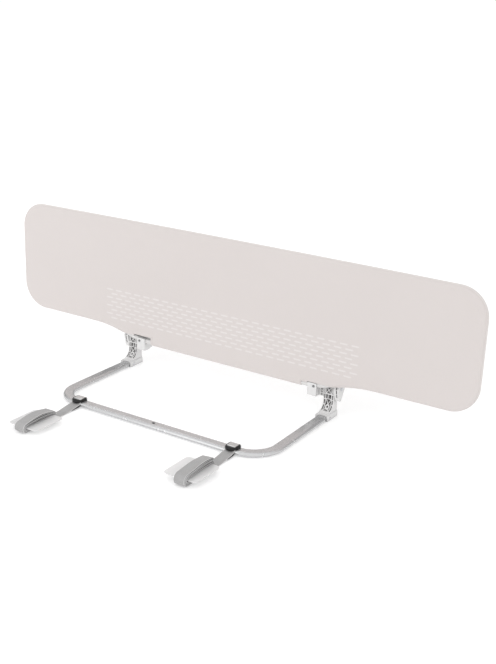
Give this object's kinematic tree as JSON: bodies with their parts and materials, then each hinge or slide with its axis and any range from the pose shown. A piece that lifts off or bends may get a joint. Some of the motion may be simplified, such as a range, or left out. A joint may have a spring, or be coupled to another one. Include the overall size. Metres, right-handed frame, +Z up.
{
  "type": "folding bed guard rail",
  "caption": "Fabric-covered fold-down guard rail for a bed, hinged to a U-shaped under-mattress base with webbing straps wound on anchor plates.",
  "frame": {"origin": "middle of the cross tube's flat underside, on the surface that the base lies on", "axes": "+X along the panel, +Y from the cross tube to the panel, +Z up"},
  "size_m": [1.5, 0.6056, 0.4427],
  "materials": {
    "tube_enamel": "grey enamel, satin",
    "rail_enamel": "white enamel, satin",
    "bright_steel": "zinc plated",
    "white_plastic": "moulded, matt",
    "black_plastic": "moulded, satin black",
    "grey_plastic": "moulded, satin grey",
    "cover_fabric": "fine plain weave, pale greige",
    "webbing": "flat grey webbing",
    "clear_plastic": "thin translucent sheet"
  },
  "bodies": {
    "base": {"base_tube_right": "tube_enamel", "base_tube_left": "tube_enamel", "button_spring": "bright_steel", "upright_right": "white_plastic", "upright_left": "white_plastic", "foot_rivet_right": "bright_steel", "foot_rivet_left": "bright_steel"},
    "panel": {"cover_front": "cover_fabric", "cover_back": "cover_fabric", "top_rail": "rail_enamel", "lower_rail": "rail_enamel", "end_loop_right": "rail_enamel", "end_loop_left": "rail_enamel", "rail_joiner_right": "rail_enamel", "rail_joiner_left": "rail_enamel", "hinge_block_right": "white_plastic", "hinge_block_left": "white_plastic", "rail_clip_right": "white_plastic", "rail_clip_left": "white_plastic", "hinge_pin_right": "bright_steel", "hinge_pin_left": "bright_steel", "clip_screw_right": "bright_steel", "clip_screw_left": "bright_steel", "plunger_spring_right": "bright_steel", "plunger_spring_left": "bright_steel"},
    "button": {"tube_button": "bright_steel"},
    "plunger_right": {"release_plunger_right": "grey_plastic"},
    "plunger_left": {"release_plunger_left": "grey_plastic"},
    "clamp_right": {"strap_clamp_right": "black_plastic", "lever_pin_right": "bright_steel", "strap_right": "webbing", "anchor_plate_right": "clear_plastic"},
    "clamp_left": {"strap_clamp_left": "black_plastic", "lever_pin_left": "bright_steel", "strap_left": "webbing", "anchor_plate_left": "clear_plastic"},
    "lever_right": {"clamp_lever_right": "grey_plastic"},
    "lever_left": {"clamp_lever_left": "grey_plastic"}
  },
  "joints": [
    {"name": "panel_fold", "type": "hinge", "parent": "base", "child": "panel", "pos_m": [0, 0.354, 0.083], "axis": [1, 0, 0], "range_deg": [-180, 0]},
    {"name": "button_press", "type": "slide", "parent": "base", "child": "button", "axis": [0, 0, -1], "range_m": [0, 0.0033], "stiffness_N_per_m": 800, "springref_m": -0.002, "deforming": ["button_spring"]},
    {"name": "plunger_pull_right", "type": "slide", "parent": "panel", "child": "plunger_right", "axis": [-1, 0, 0], "range_m": [0, 0.005], "stiffness_N_per_m": 600, "springref_m": -0.004, "deforming": ["plunger_spring_right"]},
    {"name": "plunger_pull_left", "type": "slide", "parent": "panel", "child": "plunger_left", "axis": [1, 0, 0], "range_m": [0, 0.005], "stiffness_N_per_m": 600, "springref_m": -0.004, "deforming": ["plunger_spring_left"]},
    {"name": "clamp_slide_right", "type": "slide", "parent": "base", "child": "clamp_right", "axis": [1, 0, 0], "range_m": [-0.15, 0]},
    {"name": "clamp_slide_left", "type": "slide", "parent": "base", "child": "clamp_left", "axis": [1, 0, 0], "range_m": [0, 0.15]},
    {"name": "lever_lift_right", "type": "hinge", "parent": "clamp_right", "child": "lever_right", "pos_m": [0.246, 0.011, 0.0184], "axis": [1, 0, 0], "range_deg": [-110, 0]},
    {"name": "lever_lift_left", "type": "hinge", "parent": "clamp_left", "child": "lever_left", "pos_m": [-0.252, 0.011, 0.0184], "axis": [1, 0, 0], "range_deg": [-110, 0]}
  ]
}
